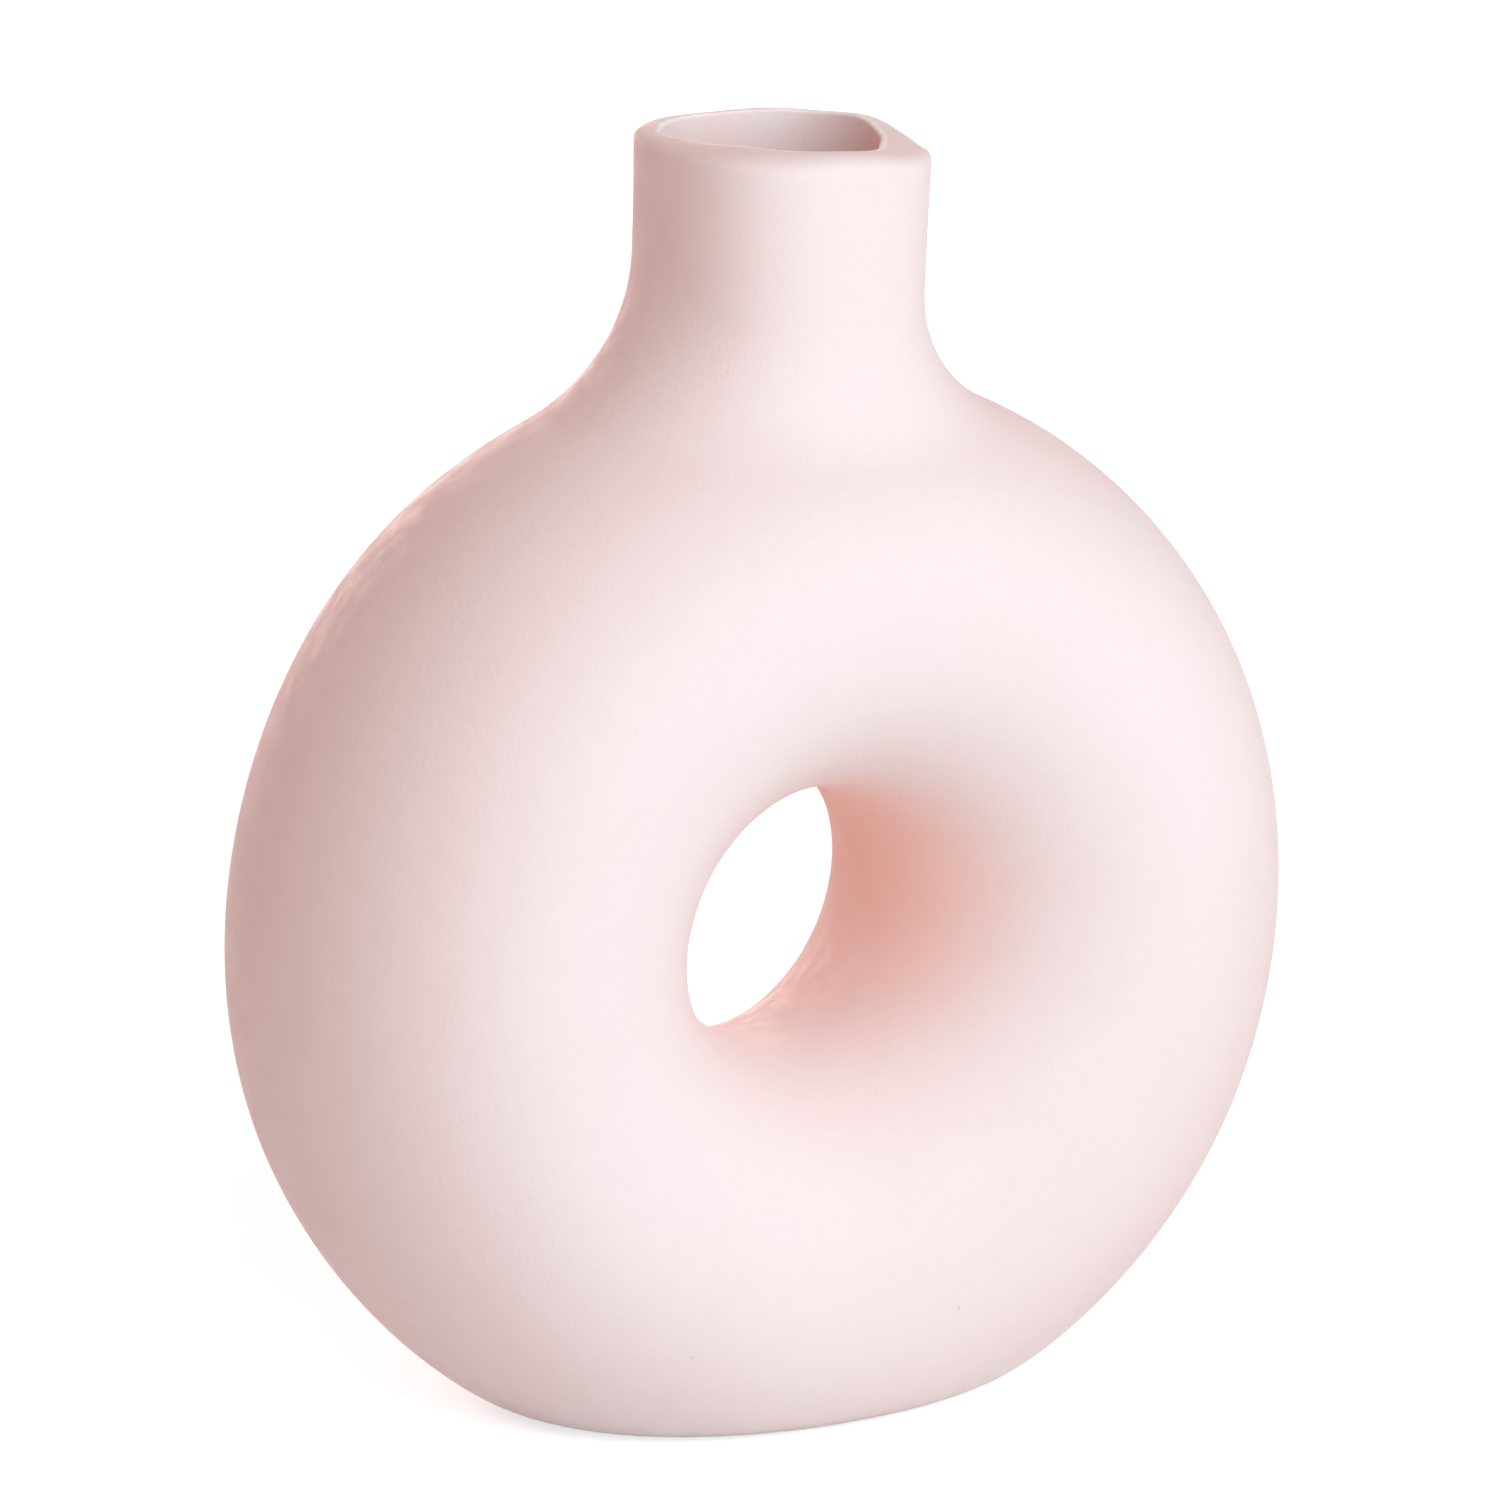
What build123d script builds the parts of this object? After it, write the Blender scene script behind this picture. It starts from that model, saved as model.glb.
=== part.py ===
"""Donut vase: an upright hollow ring of fired clay with a short wide neck on top.

The tube of the ring is oval in section, deeper from front to back than it is wide,
and the bottom of the ring is cut flat to stand on. The clay body is made of formed
pieces that are luted together before firing: two pressed half rings that meet on
the upright middle plane, a foot slab that closes the bottom, and a neck collar.

Millimetres. The origin is in the middle of the foot on the table, +Z is up, the
axis of the ring lies along Y and the front faces -Y.
"""
import os

from build123d import *

os.makedirs("parts", exist_ok=True)

# Ring
ring_diameter = 161.0   # outside of the ring
hole_diameter = 39.2    # clear width of the hole
ring_depth = 75.0       # front to back where the tube is deepest
wall = 5.5              # thickness of the clay
foot_cut = 11.2         # height of the round bottom that the flat foot takes away

# Foot
foot_thickness = 6.5    # slab that closes the bottom
foot_edge_radius = 12.0 # soft edge between the foot and the flanks
floor_radius = 5.0      # hollow corner round the floor inside
standing_width = 8.0    # flat band that the vase stands on
recess_depth = 1.0      # shallow hollow inside that band

# Neck
neck_width = 40.5       # outside, left to right
neck_depth = 43.0       # outside, front to back
neck_rise = 32.5        # rim above the top of the ring
neck_shift_right = 0.7  # the collar sits a little off the mouth
neck_shift_front = 0.9
neck_sweep_radius = 23.0  # hollow sweep from the neck into the ring
neck_seat_rise = 4.0    # joint of the collar above the top of the ring
rim_dip = 1.4           # the rim falls this much from left to right
throat_radius = 7.0     # rounding where the mouth opens into the ring

# Rounding of the lip's edges, as shares of the thickness of the clay
lip_outer_share = 0.36
lip_inner_share = 0.25

# Overrun of cutting solids past the faces that they cut
overrun = 5.0

# Half of a full turn, in degrees
half_turn = 180.0

# Derived places
outer_radius = ring_diameter / 2
hole_radius = hole_diameter / 2
crown_radius = (outer_radius + hole_radius) / 2
tube_radius = (outer_radius - hole_radius) / 2
center_height = outer_radius - foot_cut
crown_height = center_height + crown_radius
ring_top = center_height + outer_radius
rim_height = ring_top + neck_rise
seat_height = ring_top + neck_seat_rise
mouth_width = neck_width - 2 * wall
mouth_depth = neck_depth - 2 * wall

ring_axis = Axis((0, 0, center_height), (0, 1, 0))
rim_plane = Plane(origin=(0, 0, rim_height), z_dir=(rim_dip / neck_width, 0, 1))


def tube_section(inset):
    """Oval section of the tube on the level plane through the ring's centre, drawn in
    from the skin by inset. Its two arcs meet on the upright middle plane."""
    with BuildSketch(Plane.XY.offset(center_height)) as section:
        with BuildLine():
            for start in (0, half_turn):
                EllipticalCenterArc(
                    (crown_radius, 0), tube_radius - inset, ring_depth / 2 - inset,
                    start_angle=start, arc_size=half_turn)
        make_face()
    return section.sketch


# Outside of the whole clay body
with BuildPart() as outside:
    add(tube_section(0))
    revolve(axis=ring_axis)
    with BuildSketch(Plane.XY.offset(crown_height)):
        with Locations((neck_shift_right, -neck_shift_front)):
            Ellipse(neck_width / 2, neck_depth / 2)
    extrude(amount=rim_height + overrun - crown_height)
    fillet(outside.edges(Select.NEW), neck_sweep_radius)
    split(bisect_by=rim_plane, keep=Keep.BOTTOM)
    split(bisect_by=Plane.XY, keep=Keep.TOP)
    fillet(outside.faces().filter_by(Axis.Z).sort_by(Axis.Z)[0].edges(), foot_edge_radius)

# Hollow inside it, from the floor to the mouth
with BuildPart() as hollow:
    add(tube_section(wall))
    revolve(axis=ring_axis)
    with BuildSketch(Plane.XY.offset(crown_height)):
        Ellipse(mouth_width / 2, mouth_depth / 2)
    extrude(amount=rim_height + overrun - crown_height)
    fillet(hollow.edges(Select.NEW), throat_radius)
    split(bisect_by=Plane.XY.offset(foot_thickness), keep=Keep.TOP)
    fillet(hollow.faces().filter_by(Axis.Z).sort_by(Axis.Z)[0].edges(), floor_radius)

# Whole clay body, with its soft lip
with BuildPart() as body:
    add(outside)
    add(hollow, mode=Mode.SUBTRACT)
    rim_face = body.faces().filter_by(GeomType.PLANE).sort_by(Axis.Z)[-1]
    fillet(rim_face.outer_wire().edges(), lip_outer_share * wall)
    rim_face = body.faces().filter_by(GeomType.PLANE).sort_by(Axis.Z)[-1]
    fillet(rim_face.inner_wires().edges(), lip_inner_share * wall)

# Foot slab, with the flat band that the vase stands on
with BuildPart() as foot:
    add(body)
    split(bisect_by=Plane.XY.offset(foot_thickness), keep=Keep.BOTTOM)
    underside = foot.faces().filter_by(Axis.Z).sort_by(Axis.Z)[0].bounding_box().size
    with BuildSketch(Plane.XY):
        Ellipse(underside.X / 2 - standing_width, underside.Y / 2 - standing_width)
    extrude(amount=recess_depth, mode=Mode.SUBTRACT)

# Neck collar, luted on above the top of the ring
with BuildPart() as neck:
    add(body)
    split(bisect_by=Plane.XY.offset(seat_height), keep=Keep.TOP)

# Ring between foot and collar, then its two pressed halves
with BuildPart() as ring:
    add(body)
    split(bisect_by=Plane.XY.offset(foot_thickness), keep=Keep.TOP)
    split(bisect_by=Plane.XY.offset(seat_height), keep=Keep.BOTTOM)

with BuildPart() as front_shell:
    add(ring)
    split(bisect_by=Plane.XZ, keep=Keep.TOP)

with BuildPart() as back_shell:
    add(ring)
    split(bisect_by=Plane.XZ, keep=Keep.BOTTOM)

pieces = {"foot": foot, "front_shell": front_shell, "back_shell": back_shell, "neck": neck}
for label, piece in pieces.items():
    piece.part.label = label
    export_step(piece.part, f"parts/{label}.step")
    print(label, "volume", round(piece.part.volume), "valid", piece.part.is_valid)
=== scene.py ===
# %% [markdown]
# # A donut vase in matte pink clay
# The vase is an upright hollow ring with a short wide neck. A potter joins it from a few
# formed pieces and then smooths the joints away, so the fired vase has one unbroken skin.
# The CAD model holds the size, the place and the pieces. This lesson works the skin out
# with numpy, gives it the finish of matte clay and lights it with soft studio lamps.

import bpy
import numpy as np
from mathutils import Matrix, Vector


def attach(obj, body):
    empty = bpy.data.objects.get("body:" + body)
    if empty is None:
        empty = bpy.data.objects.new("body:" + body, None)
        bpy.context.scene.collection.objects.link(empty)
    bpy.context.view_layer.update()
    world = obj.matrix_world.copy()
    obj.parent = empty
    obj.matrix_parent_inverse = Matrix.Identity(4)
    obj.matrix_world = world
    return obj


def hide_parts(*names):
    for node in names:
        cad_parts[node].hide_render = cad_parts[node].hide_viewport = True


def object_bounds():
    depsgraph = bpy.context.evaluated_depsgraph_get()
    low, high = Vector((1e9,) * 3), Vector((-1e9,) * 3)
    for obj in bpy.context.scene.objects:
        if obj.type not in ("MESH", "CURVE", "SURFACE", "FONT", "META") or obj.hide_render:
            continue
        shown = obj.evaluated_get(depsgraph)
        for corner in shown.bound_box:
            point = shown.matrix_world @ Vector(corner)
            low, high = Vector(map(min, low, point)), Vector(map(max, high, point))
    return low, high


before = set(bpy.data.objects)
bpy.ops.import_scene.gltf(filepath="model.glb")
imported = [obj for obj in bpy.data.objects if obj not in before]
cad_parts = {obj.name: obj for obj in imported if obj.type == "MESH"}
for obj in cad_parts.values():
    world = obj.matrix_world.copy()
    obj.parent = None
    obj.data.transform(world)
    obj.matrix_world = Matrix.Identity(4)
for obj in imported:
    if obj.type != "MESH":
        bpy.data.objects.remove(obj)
cad_box = [list(corner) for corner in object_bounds()]
print("CAD box in metres", cad_box)

# %% [markdown]
# ## The section of the ring
# Cut through, the tube of the ring is oval: deeper from front to back than it is wide.
# A torus primitive has a round tube only, so the oval is written as a formula: a cosine
# and a sine that run round the tube, raised to a power that fills the oval a little.
# All the arrays are in millimetres, and only the finished mesh is turned into metres.

# %% Sizes of the ring
metre = 1000.0
low, high = (np.array(corner) * metre for corner in cad_box)
outer_radius = (high[0] - low[0]) / 2 - 0.2
half_depth = (high[1] - low[1]) / 2 - 0.2
crown_radius = 50.0
hole_radius = 19.4
foot_cut = 11.2
wall = 5.5
outer_fullness = 2.0
inner_fullness = 2.13
ring_center = (high[0] - low[0]) / 2 - foot_cut
print("ring radius", outer_radius, "centre height", ring_center)


def bell(angle, center_degrees, width_degrees):
    """Bell curve over an angle in radians, one at its centre and near zero away from it."""
    away = (angle - np.radians(center_degrees) + np.pi) % (2 * np.pi) - np.pi
    return np.exp(-(away / np.radians(width_degrees)) ** 2)


def ring_radius(around):
    """Outer radius of the ring round its axis. It is a little full at the upper left."""
    return outer_radius + 0.6 * bell(around, 134, 20)


def tube_skin(around, across, inset):
    """Points of the ring's skin, with its centre at the origin. Across runs round the
    tube: the reach from the ring's axis is the crown radius plus the tube's half width
    times the cosine, and y is the half depth times the sine, both to the power of two
    over the fullness. Around turns that reach about the axis. Inset draws it in. The
    hole isn't quite round: it lies a little to the upper right, and its lower left is
    thick."""
    cosine, sine = np.cos(across), np.sin(across)
    fullness = np.where(cosine > 0, outer_fullness, inner_fullness)
    hole = hole_radius + 0.5 * np.cos(around - np.radians(50)) - 0.9 * bell(around, 236, 24)
    outer = ring_radius(around)
    half_width = np.where(cosine > 0, outer - crown_radius, crown_radius - hole) - inset
    reach = crown_radius + half_width * np.sign(cosine) * np.abs(cosine) ** (2 / fullness)
    depth = (half_depth - inset) * np.sign(sine) * np.abs(sine) ** (2 / fullness)
    return np.stack(np.broadcast_arrays(reach * np.cos(around), depth, reach * np.sin(around)), -1)


def ring_top(x, y, inset):
    """Height of the ring's upper skin above its centre. The oval gives the reach at the
    depth y, the circle of that reach gives the height at x, and the angle of that point
    gives how much fuller the ring is there."""
    left_over = np.clip(1 - np.abs(y / (half_depth - inset)) ** outer_fullness, 0, 1)
    share = left_over ** (1 / outer_fullness)
    reach = crown_radius + (outer_radius - crown_radius - inset) * share
    height = np.sqrt(np.maximum(reach ** 2 - x ** 2, 0))
    fuller = ring_radius(np.arctan2(height, x)) - outer_radius
    reach = reach + fuller * share
    return np.sqrt(np.maximum(reach ** 2 - x ** 2, 0))


# %% [markdown]
# ## Two grids and a window
# The skin outside and the skin of the hollow inside are the same grid of points, one
# drawn in by the thickness of the clay. At the top both grids leave out a window of
# cells, and the neck is fitted between the two windows point for point, so that nothing
# has to be cut or welded afterwards.

# %% Grids of the ring
around_steps = 240
across_steps = 112
window_around = 19
window_across = 19
around = np.linspace(0, 2 * np.pi, around_steps, endpoint=False)[:, None]
across = np.linspace(-np.pi, np.pi, across_steps, endpoint=False)[None, :]
outer_skin = tube_skin(around, across, 0)
inner_skin = tube_skin(around, across, wall)

first_around, last_around = around_steps // 4 - window_around, around_steps // 4 + window_around
first_across, last_across = across_steps // 2 - window_across, across_steps // 2 + window_across


def window_edge(grid):
    """Entries of a grid once round the edge of the window, without repeats."""
    return np.concatenate([
        grid[first_around:last_around, first_across],
        grid[last_around, first_across:last_across],
        grid[last_around:first_around:-1, last_across],
        grid[first_around, last_across:first_across:-1],
    ])


outer_edge = window_edge(outer_skin)
inner_edge = window_edge(inner_skin)
print("rays of the neck", len(outer_edge))

# %% [markdown]
# ## The outline of the neck
# The neck is thrown and bent by hand: its outline is a soft square rather than a circle,
# it leans a little to the right, its wall is thick in two places and its rim rises and
# falls. A superellipse gives the outline, and bell curves over the angle add the rest.

# %% Sizes of the neck
neck_center = np.array([1.33, -0.67])
neck_half_width = 19.3
neck_half_depth = 20.7
neck_fullness = 2.42
neck_lean = 0.47
neck_flare = 0.01
angle = np.arctan2(outer_edge[:, 1] - neck_center[1], outer_edge[:, 0] - neck_center[0])
window_reach = np.hypot(outer_edge[:, 0] - neck_center[0], outer_edge[:, 1] - neck_center[1])

outline = (
    np.abs(np.cos(angle) / neck_half_width) ** neck_fullness
    + np.abs(np.sin(angle) / neck_half_depth) ** neck_fullness
) ** (-1 / neck_fullness)
rim = (
    -0.42 * np.cos(angle) - 0.15 * np.cos(2 * angle) + 0.35 * np.sin(2 * angle)
    + 0.85 * bell(angle, 18, 22) + 0.4 * bell(angle, 70, 40) + 0.45 * bell(angle, 130, 32)
    + 0.2 * bell(angle, -100, 50) + 0.05 * np.sin(7 * angle)
)
rim += high[2] - ring_center - 0.03 - rim.max()
neck_wall = (
    4.7 + 2.8 * bell(angle, -40, 27) - 0.7 * bell(angle, 14, 22) + 1.9 * bell(angle, -142, 26)
    - 0.9 * bell(angle, 155, 30) - 0.5 * bell(angle, -85, 20) + 0.1 * np.sin(6 * angle + 1)
)
bore = outline * (1 + neck_flare) - neck_wall
print("neck wall from", neck_wall.min(), "to", neck_wall.max())

# %% [markdown]
# ## The sweep between neck and ring
# Where the neck meets the ring the potter draws a wet finger round the joint. That is a
# ball rolled in the corner. For each ray out from the neck the ball is lowered along the
# wall until it touches the ring: the highest place of its centre that any point of the
# ring asks for is where it stops. The same ball, smaller, rounds the throat inside.


# %% Lower a ball into the corner
def lowered_ball(wall_reach, ball, inset):
    """Height of the centre of a ball that slides down a wall onto the ring, and the
    angle round the ball from the wall to where it touches. Over each point of the ring
    the centre is at least the height plus the root of ball squared less the level
    distance squared, and the largest of these is the answer."""
    share = np.linspace(0.001, 1, 400)[:, None]
    reach = wall_reach + ball * share
    height = ring_top(
        neck_center[0] + reach * np.cos(angle), neck_center[1] + reach * np.sin(angle), inset)
    needed = height + np.sqrt(np.maximum(ball ** 2 - (ball * (1 - share)) ** 2, 0))
    return needed.max(0), np.arccos(1 - share[needed.argmax(0), 0])


sweep_ball = 23.0 + 2.0 * np.sin(angle) ** 2 + 7.0 * bell(angle, 158, 45)
throat_ball = 7.0
sweep_center, sweep_turn = lowered_ball(outline, sweep_ball, 0)
throat_center, throat_turn = lowered_ball(bore, throat_ball, wall)
print("sweep turns", np.degrees(sweep_turn).min(), np.degrees(sweep_turn).max())

# %% [markdown]
# ## The neck as rows of points
# Each ray is a profile that starts on the outer skin, runs up the sweep and the wall,
# rolls over the lip, goes down the bore and opens into the hollow. A row holds the same
# step of all the rays, and the rows are stacked to a grid, like the hoops of a barrel.

# %% Rows of the neck
skirt_rows = 8
sweep_rows = 18
side_rows = 22
lip_rows = 18
edge_rows = 6
bore_rows = 24
throat_rows = 8
# rows on each side of the lip's inner edge that carry a painted highlight
highlight_rows = 3
lip_slope = 0.04
lip_roll = 1.5 + 1.7 * bell(angle, -100, 55)
lip_fullness = 2.3
lip_inside = 0.55


def steps(count):
    """Shares from just above 0 up to 1, as a column, so that a row isn't made twice."""
    return np.linspace(0, 1, count + 1)[1:, None]


def place(reach, height, lift):
    """Points of rays at a reach from the neck's axis, which leans with the lift."""
    reach, height, lift = np.broadcast_arrays(reach, height, lift)
    x = neck_center[0] + neck_lean * lift + reach * np.cos(angle)
    y = neck_center[1] + reach * np.sin(angle)
    return np.stack([x, y, height], -1)


# outer skirt, from the window to where the ball touches
touch = outline + sweep_ball * (1 - np.cos(sweep_turn))
skirt_reach = window_reach + (touch - window_reach) * steps(skirt_rows)
skirt = place(skirt_reach, 0, 0)
skirt[..., 2] = ring_top(skirt[..., 0], skirt[..., 1], 0)

# sweep, wall and lip
turn = sweep_turn * (1 - steps(sweep_rows))
sweep = place(outline + sweep_ball * (1 - np.cos(turn)), sweep_center - sweep_ball * np.sin(turn), 0)
up = steps(side_rows)
lip_width = outline * (1 + neck_flare) - bore - lip_inside
wall_top = rim - lip_roll - lip_slope * lip_width
side = place(
    outline * (1 + neck_flare * up ** 2), sweep_center + (wall_top - sweep_center) * up, up)
turn = np.pi / 2 * (1 - (1 - steps(lip_rows)) ** 1.6)
outward = np.cos(turn) ** (2 / lip_fullness)
upward = np.sin(turn) ** (2 / lip_fullness)
thumb_mark = 0.3 * bell(angle, -20, 8) * np.sin(2 * turn)
lip = place(
    bore + lip_inside + lip_width * outward,
    rim - lip_slope * lip_width * outward - lip_roll * (1 - upward) - thumb_mark, 1)
turn = np.pi / 2 * steps(edge_rows)
edge = place(
    bore + lip_inside * (1 - np.sin(turn)), rim - lip_inside * (1 - np.cos(turn)), 1)

# bore and throat
down = steps(bore_rows)
bore_top = rim - lip_inside
tunnel = place(bore, bore_top + (throat_center - bore_top) * down, 1 - down)
turn = throat_turn * steps(throat_rows)
throat = place(bore + throat_ball * (1 - np.cos(turn)), throat_center - throat_ball * np.sin(turn), 0)

# inner skirt, to the window of the inner skin
inner_skirt = throat[-1] + (inner_edge - throat[-1]) * steps(skirt_rows)[:-1, :, None]
inner_skirt[..., 2] = ring_top(inner_skirt[..., 0], inner_skirt[..., 1], wall)
neck_rows = np.concatenate([skirt, sweep, side, lip, edge, tunnel, throat, inner_skirt])
print("neck grid", neck_rows.shape)

# share of painted highlight on each point of the neck, 1 along the inner edge of the lip
lip_painted_highlight = np.zeros(neck_rows.shape[:2])
first_edge = len(skirt) + len(sweep) + len(side) + len(lip)
lip_painted_highlight[first_edge - highlight_rows:first_edge + highlight_rows] = 1

# %% [markdown]
# ## The foot
# The soft clay settles on its flat foot, so the round bottom turns into a flat with a
# gentle edge. Cutting with a plane would leave a sharp edge. A soft floor does better:
# the logarithm of one plus the exponential of the height is level below the floor and
# leaves the rest alone, with a smooth change between them.


# %% Stand the vase on its foot
def soft_floor(height, floor, softness):
    """Height kept above a floor: floor plus softness times the logarithm of one plus
    the exponential of the height over the floor divided by the softness."""
    return floor + softness * np.logaddexp(0, (height - floor) / softness)


def lifted(points, floor, softness):
    """Points raised from the ring's centre to their height over the table."""
    points = points.copy()
    points[..., 2] = soft_floor(points[..., 2] + ring_center, floor, softness)
    return points


foot_softness = 1.3
floor_thickness = 6.5
outer_skin = lifted(outer_skin, 0, foot_softness)
inner_skin = lifted(inner_skin, floor_thickness, foot_softness)
neck_rows[..., 2] += ring_center

recess_depth = 1.0
recess_half_width = 29.5
recess_half_depth = 15.3
from_middle = np.hypot(outer_skin[..., 0] / recess_half_width, outer_skin[..., 1] / recess_half_depth)
hollow_share = np.clip((1.08 - from_middle) / 0.14, 0, 1)
hollow_share = hollow_share ** 2 * (3 - 2 * hollow_share) * (outer_skin[..., 2] < recess_depth)
outer_skin[..., 2] += recess_depth * hollow_share

# %% [markdown]
# ## One mesh from three grids
# The three grids share the points of the window edges, so one list of points and one
# list of four-sided faces make a closed skin. The order of the corners decides which way
# a face looks, so each list is written to look away from the clay, and the volume that
# the faces enclose shows whether that came out right.


# %% Join the grids
drift_height = 0.12
calm_height = 12
calm_rise = 30


def drifted(points):
    """Points moved by a fraction of a millimetre along slow waves, as hands leave clay.
    Each coordinate moves with the sine of another two, and the foot stays flat."""
    x, y, z = np.moveaxis(points, -1, 0)
    calm = np.clip((z - calm_height) / calm_rise, 0, 1)
    waves = np.stack([
        np.sin(z / 13 + y / 19 + 0.6),
        np.sin(x / 21 + z / 17 + 2.1),
        np.sin(x / 15 - y / 23 + 4.0),
    ], -1)
    return points + drift_height * calm[..., None] * waves


def cells(rows, wrap_rows):
    """Corner numbers of the cells of a grid of numbers that closes on itself sideways,
    and also from its last row to its first where wrap_rows is set."""
    lower, upper = (rows, np.roll(rows, -1, 0)) if wrap_rows else (rows[:-1], rows[1:])
    return np.stack([lower, upper, np.roll(upper, -1, 1), np.roll(lower, -1, 1)], -1)


ring_count = around_steps * across_steps
outer_numbers = np.arange(ring_count).reshape(around_steps, across_steps)
inner_numbers = outer_numbers + ring_count
row_numbers = np.arange(neck_rows[..., 0].size).reshape(neck_rows.shape[:2]) + 2 * ring_count
neck_numbers = np.concatenate([
    window_edge(outer_numbers)[None], row_numbers, window_edge(inner_numbers)[None]])

kept = np.ones((around_steps, across_steps), bool)
kept[first_around:last_around, first_across:last_across] = False
faces = np.concatenate([
    cells(outer_numbers, True)[kept][:, ::-1],
    cells(inner_numbers, True)[kept],
    cells(neck_numbers, False).reshape(-1, 4),
])
points = np.concatenate([grid.reshape(-1, 3) for grid in (outer_skin, inner_skin, neck_rows)])
used, faces = np.unique(faces, return_inverse=True)
faces = faces.reshape(-1, 4)
points = drifted(points[used])

corner = points[faces]
volume = sum(
    np.einsum("ij,ij->i", corner[:, 0], np.cross(corner[:, a], corner[:, b])).sum() / 6
    for a, b in ((1, 2), (2, 3)))
print("faces", len(faces), "clay in cubic centimetres", volume / 1000)

# %% Make the clay body
mesh = bpy.data.meshes.new("clay_body")
mesh.from_pydata(points / metre, [], faces)
mesh.update()
mesh.shade_smooth()
# painted highlight along the inner edge of the lip, kept on the points
painted_highlight_share = np.concatenate([np.zeros(2 * ring_count), lip_painted_highlight.ravel()])[used]
mesh.attributes.new("lip_painted_highlight", "FLOAT", "POINT").data.foreach_set("value", painted_highlight_share)
clay_body = bpy.data.objects.new("clay_body", mesh)
bpy.context.scene.collection.objects.link(clay_body)
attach(clay_body, "root")
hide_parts("front_shell", "back_shell", "neck", "foot")

# %% [markdown]
# ## Matte pink clay
# The real vase is matte and almost velvety: a pale pink with a slow drift of tone, a fine
# grain that only shows in raking light, and a few specks of iron in the clay. A material
# of noise textures on Object coordinates keeps that in place on the vase from any side.


# %% Tools for a material
class Nodes:
    """Adds and joins the nodes of one material, or of the world."""

    def __init__(self, name, kind=bpy.data.materials):
        self.owner = kind.new(name)
        self.owner.use_nodes = True
        self.tree = self.owner.node_tree
        self.tree.nodes.clear()

    def add(self, kind, settings=None, **inputs):
        """A node of that kind, with its settings, and with a number, a colour or another
        node's output on each named input."""
        node = self.tree.nodes.new(kind)
        for name, value in (settings or {}).items():
            setattr(node, name, value)
        for name, value in inputs.items():
            socket = node.inputs[name.replace("_", " ")]
            if isinstance(value, bpy.types.NodeSocket):
                self.tree.links.new(value, socket)
            else:
                socket.default_value = value
        return node

    def noise(self, where, scale, detail):
        """Noise with that many bumps to a metre, finer with more detail."""
        return self.add("ShaderNodeTexNoise", Vector=where, Scale=scale, Detail=detail).outputs["Fac"]

    def product(self, first, second):
        """Two values multiplied."""
        node = self.add("ShaderNodeMath", {"operation": "MULTIPLY"}, Value=first)
        self.tree.links.new(second, node.inputs[1])
        return node.outputs["Value"]

    def spread(self, value, low_in, high_in, low_out, high_out):
        """A value taken smoothly from one range to another, held at the ends."""
        node = self.add("ShaderNodeMapRange", {"interpolation_type": "SMOOTHSTEP"}, Value=value)
        node.inputs["From Min"].default_value = low_in
        node.inputs["From Max"].default_value = high_in
        node.inputs["To Min"].default_value = low_out
        node.inputs["To Max"].default_value = high_out
        return node.outputs["Result"]

    def blend(self, share, first, second):
        """Two colours mixed by a share."""
        node = self.add("ShaderNodeMix", {"data_type": "RGBA"})
        for number, value in ((0, share), (6, first), (7, second)):
            socket = node.inputs[number]
            if isinstance(value, bpy.types.NodeSocket):
                self.tree.links.new(value, socket)
            else:
                socket.default_value = value
        return node.outputs[2]


# %% Pink clay
pale_pink = (0.900, 0.765, 0.750, 1)
warm_pink = (0.888, 0.735, 0.715, 1)
# the next two colours are painted bounce light, for the hole and for the mouth
painted_bounce_coral = (0.985, 0.660, 0.570, 1)
painted_mouth_bounce_coral = (0.990, 0.710, 0.640, 1)
# painted highlight on the lip's inner edge
painted_highlight_white = (0.985, 0.955, 0.945, 1)
raw_clay = (0.780, 0.620, 0.550, 1)
iron = (0.420, 0.270, 0.230, 1)

clay = Nodes("pink_clay")
where = clay.add("ShaderNodeTexCoord").outputs["Object"]
height = clay.add("ShaderNodeSeparateXYZ", Vector=where).outputs["Z"]

# slow drift of tone
drift = clay.noise(where, 14, 3)
tone = clay.blend(clay.spread(drift, 0.35, 0.65, 0, 1), pale_pink, warm_pink)


# Painted bounce light: a warm coral in the hole and in the mouth, by the distance from an axis. On the
# real vase it is mostly light thrown between the pink walls; here it is painted into the clay's tone.
def from_axis(keep, axis):
    """Distance from a line: keep has a 0 in the direction of the line."""
    flattened = clay.add("ShaderNodeVectorMath", {"operation": "MULTIPLY"}, Vector=where)
    flattened.inputs[1].default_value = keep
    away = clay.add(
        "ShaderNodeVectorMath", {"operation": "DISTANCE"}, Vector=flattened.outputs["Vector"])
    away.inputs[1].default_value = axis
    return away.outputs["Value"]


hole_axis = (0.006, 0, ring_center / metre + 0.003)
painted_hole_bounce_share = clay.spread(from_axis((1, 0, 1), hole_axis), 0.0115, 0.0245, 1, 0)
mouth_axis = (neck_center[0] / metre, neck_center[1] / metre, 0)
painted_mouth_bounce_share = clay.product(
    clay.spread(from_axis((1, 1, 0), mouth_axis), 0.0150, 0.0170, 1, 0),
    clay.spread(height, 0.145, 0.165, 0, 1))
# painted bounce light mixed into the tone in the hole and in the mouth
tone = clay.blend(painted_hole_bounce_share, tone, painted_bounce_coral)
tone = clay.blend(painted_mouth_bounce_share, tone, painted_mouth_bounce_coral)

# thin painted highlight, a near-white line along the inner edge of the lip
edge_highlight_share = clay.add("ShaderNodeAttribute", {"attribute_name": "lip_painted_highlight"}).outputs["Fac"]
tone = clay.blend(
    clay.product(edge_highlight_share, clay.spread(clay.noise(where, 500, 3), 0.3, 0.6, 0.5, 1)), tone, painted_highlight_white)

# bare, rubbed clay on the standing face
bare = clay.product(
    clay.spread(height, 0.0010, 0.0024, 1, 0), clay.spread(clay.noise(where, 220, 4), 0.3, 0.6, 0.5, 1))
tone = clay.blend(bare, tone, raw_clay)

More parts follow.
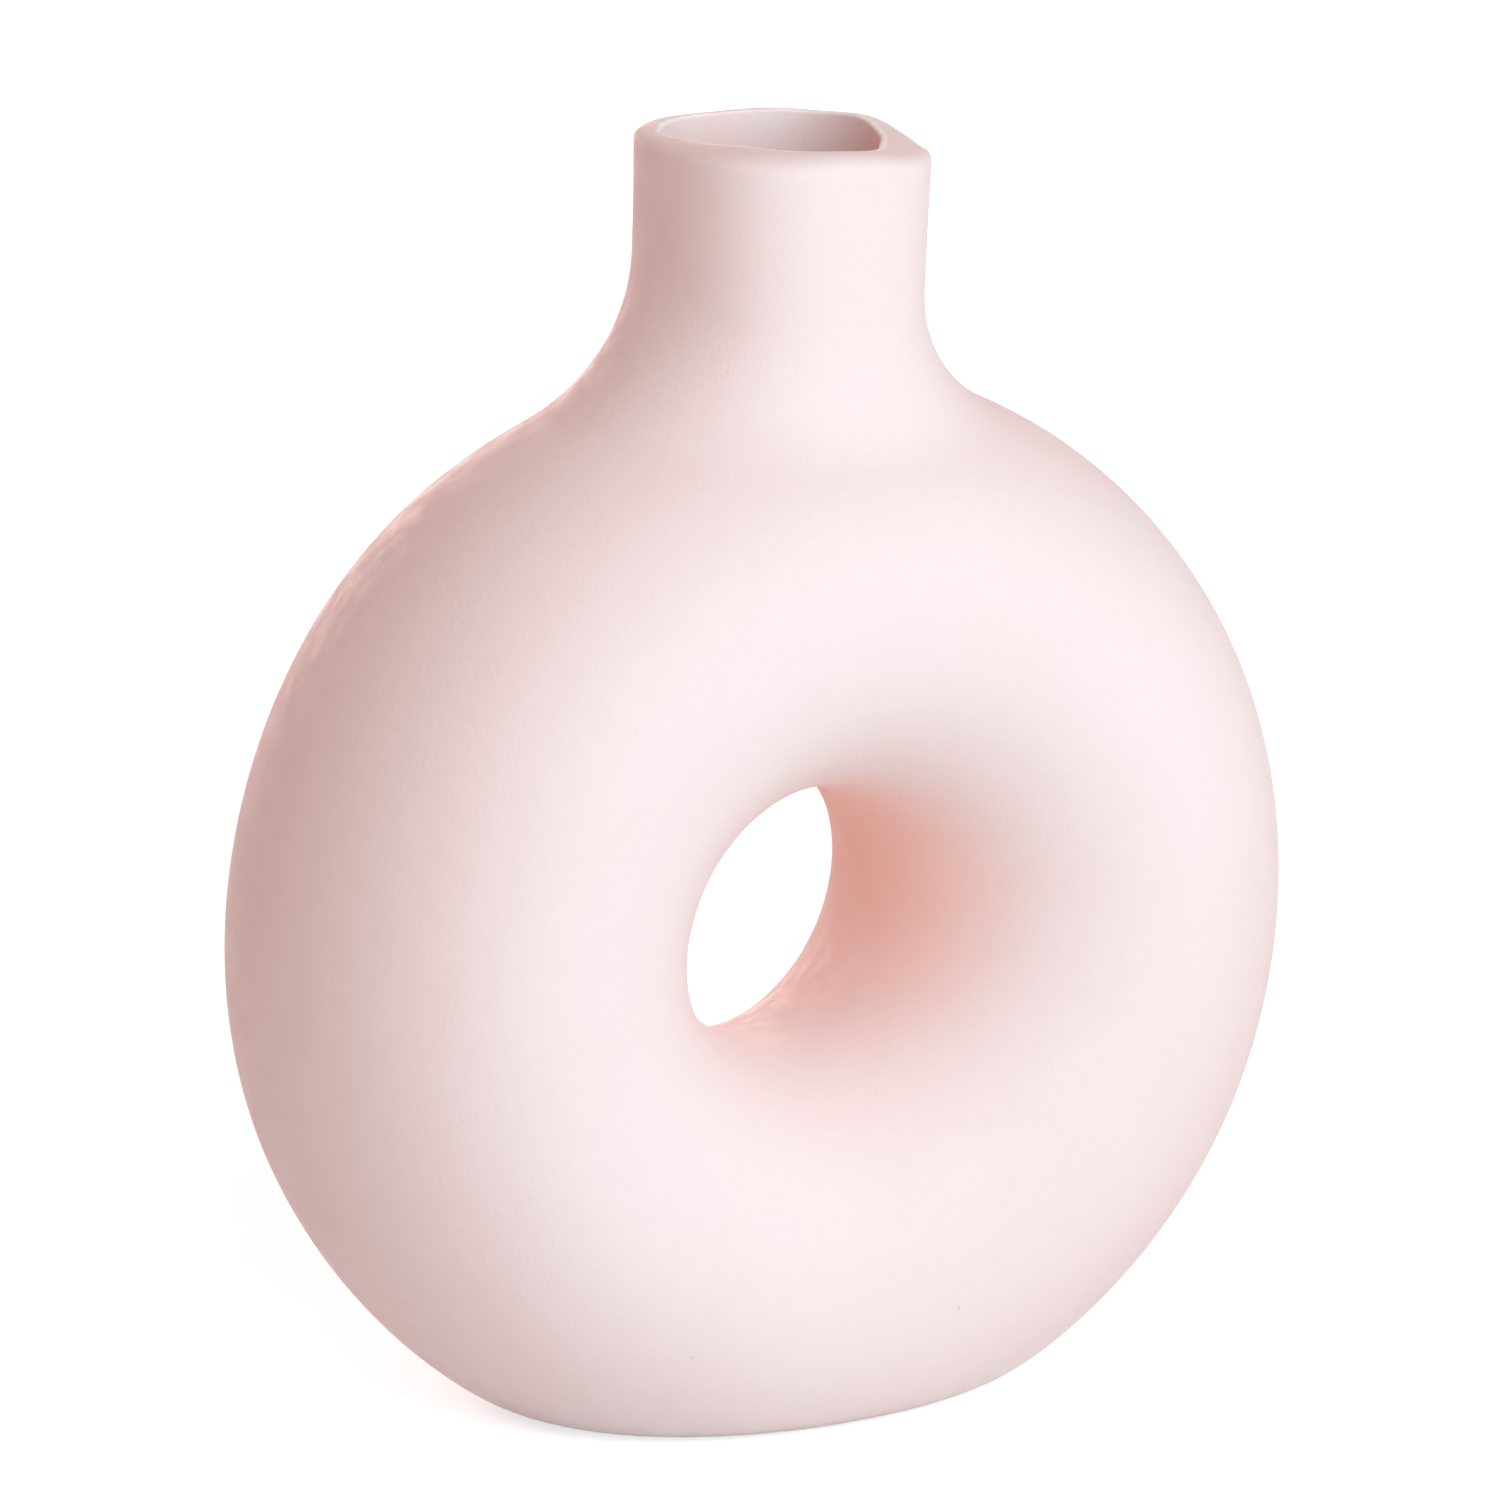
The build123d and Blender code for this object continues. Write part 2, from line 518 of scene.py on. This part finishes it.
# specks of iron in seven cells of the pattern in ten; few of them lie right in the skin
cell = clay.add("ShaderNodeTexVoronoi", Vector=where, Scale=70.0)
lot = clay.add("ShaderNodeSeparateColor", Color=cell.outputs["Color"]).outputs["Red"]
speck = clay.product(
    clay.spread(cell.outputs["Distance"], 0.012, 0.024, 0.35, 0), clay.spread(lot, 0.295, 0.305, 0, 1))
tone = clay.blend(speck, tone, iron)

# velvety grain
grain = clay.noise(where, 1400, 5)
swell = clay.noise(where, 90, 2)
grain_bump = clay.add("ShaderNodeBump", Height=grain, Strength=0.22, Distance=0.0003)
bump = clay.add(
    "ShaderNodeBump", Height=swell, Strength=0.25, Distance=0.0006,
    Normal=grain_bump.outputs["Normal"])
roughness = clay.spread(clay.noise(where, 260, 4), 0.3, 0.7, 0.54, 0.70)

clay_bsdf = clay.add(
    "ShaderNodeBsdfPrincipled", Base_Color=tone, Roughness=roughness, Normal=bump.outputs["Normal"],
    Specular_IOR_Level=0.35)
clay.add("ShaderNodeOutputMaterial", Surface=clay_bsdf.outputs["BSDF"])
mesh.materials.append(clay.owner)

# %% [markdown]
# ## Floor and background
# A plain white table and a white room. The room is white only to the camera and to
# reflections. What lights the vase is the lamps and what they throw on the table.

# %% White table
table_size = 3.0
table_mesh = bpy.data.meshes.new("table")
half = table_size / 2
table_mesh.from_pydata(
    [(-half, -half, 0), (half, -half, 0), (half, half, 0), (-half, half, 0)], [], [(0, 1, 2, 3)])
table = bpy.data.objects.new("table", table_mesh)
bpy.context.scene.collection.objects.link(table)


def seen_directly(nodes):
    """One for a ray from the camera, or one that a mirror or a glass turned, else zero."""
    path = nodes.add("ShaderNodeLightPath")
    seen = path.outputs["Is Camera Ray"]
    for kind in ("Is Glossy Ray", "Is Transmission Ray"):
        either = nodes.add("ShaderNodeMath", {"operation": "MAXIMUM"}, Value=seen)
        nodes.tree.links.new(path.outputs[kind], either.inputs[1])
        seen = either.outputs["Value"]
    return seen


cloth = Nodes("white_table")
table_bsdf = cloth.add("ShaderNodeBsdfDiffuse", Color=(0.85, 0.85, 0.85, 1))
glow = cloth.add("ShaderNodeEmission", Color=(0.96, 0.98, 1, 1), Strength=0.66)
both = cloth.add("ShaderNodeAddShader")
cloth.tree.links.new(table_bsdf.outputs["BSDF"], both.inputs[0])
cloth.tree.links.new(glow.outputs["Emission"], both.inputs[1])
switch = cloth.add("ShaderNodeMixShader", Fac=seen_directly(cloth))
cloth.tree.links.new(table_bsdf.outputs["BSDF"], switch.inputs[1])
cloth.tree.links.new(both.outputs["Shader"], switch.inputs[2])
cloth.add("ShaderNodeOutputMaterial", Surface=switch.outputs["Shader"])
table_mesh.materials.append(cloth.owner)

# %% White room
room = Nodes("white_room", bpy.data.worlds)
bpy.context.scene.world = room.owner
dim = room.add("ShaderNodeBackground", Color=(1.0, 0.64, 0.57, 1), Strength=0.49)
white = room.add("ShaderNodeBackground", Color=(1, 1, 1, 1), Strength=1.0)
switch = room.add("ShaderNodeMixShader", Fac=seen_directly(room))
room.tree.links.new(dim.outputs["Background"], switch.inputs[1])
room.tree.links.new(white.outputs["Background"], switch.inputs[2])
room.add("ShaderNodeOutputWorld", Surface=switch.outputs["Shader"])

# %% [markdown]
# ## Lamps
# A broad soft lamp stands in front, low and close, so the front of the ring is bright
# all over and the left flank falls into soft shade. A weak warm lamp behind the vase
# stands for light that comes back from a coloured wall: it warms the far side of the
# hole and the edges of the flanks.


# %% Soft lamps
lamp_distance = 1.4


def lamp(name, azimuth, elevation, width, height, power, color):
    """A soft lamp at an angle from the front and over the table, turned to the vase."""
    data = bpy.data.lights.new(name, "AREA")
    data.shape = "RECTANGLE"
    data.size = width
    data.size_y = height
    data.energy = power
    data.color = color
    light = bpy.data.objects.new(name, data)
    turn, rise = np.radians(azimuth), np.radians(elevation)
    toward = Vector((np.sin(turn) * np.cos(rise), -np.cos(turn) * np.cos(rise), np.sin(rise)))
    middle = Vector((0, 0, ring_center / metre))
    light.location = middle + lamp_distance * toward
    light.rotation_euler = (-toward).to_track_quat("-Z", "Y").to_euler()
    bpy.context.scene.collection.objects.link(light)


lamp("key_lamp", 7, 27, 1.8, 1.2, 18.0, (0.75, 1.0, 1.09))
lamp("warm_lamp", 168, 8, 1.0, 0.3, 7.0, (1.0, 0.76, 0.70))

# %% [markdown]
# ## Camera
# The camera stands to the left of the front and a little above, with a long lens, as in
# the picture: the outline of the ring, the slant of the hole and the width of the mouth
# fix its angle, its height and its distance.

# %% Camera
camera_azimuth = np.radians(-29.94)
camera_elevation = np.radians(14.46)
camera_roll = np.radians(0.61)
camera_distance = 1.1602
frame_share = 7.011
aim_right = -0.00165
aim_up = 0.02376
back = Vector((
    np.sin(camera_azimuth) * np.cos(camera_elevation),
    -np.cos(camera_azimuth) * np.cos(camera_elevation),
    np.sin(camera_elevation)))
level = Vector((np.cos(camera_azimuth), np.sin(camera_azimuth), 0))
upright = back.cross(level)
right = np.cos(camera_roll) * level + np.sin(camera_roll) * upright
above = np.cos(camera_roll) * upright - np.sin(camera_roll) * level
aim = level * aim_right + Vector((0, 0, ring_center / metre + aim_up))
camera_data = bpy.data.cameras.new("camera")
camera_data.sensor_width = 36.0
image_pixels = 1500
camera_data.lens = frame_share * camera_distance * metre * camera_data.sensor_width / image_pixels
camera = bpy.data.objects.new("camera", camera_data)
turned = Matrix((right, above, back)).transposed().to_4x4()
camera.matrix_world = Matrix.Translation(aim + back * camera_distance) @ turned
bpy.context.scene.collection.objects.link(camera)
bpy.context.scene.camera = camera
print("lens", camera_data.lens, "mm")

# %% Finish
bpy.context.scene.view_settings.view_transform = "Standard"
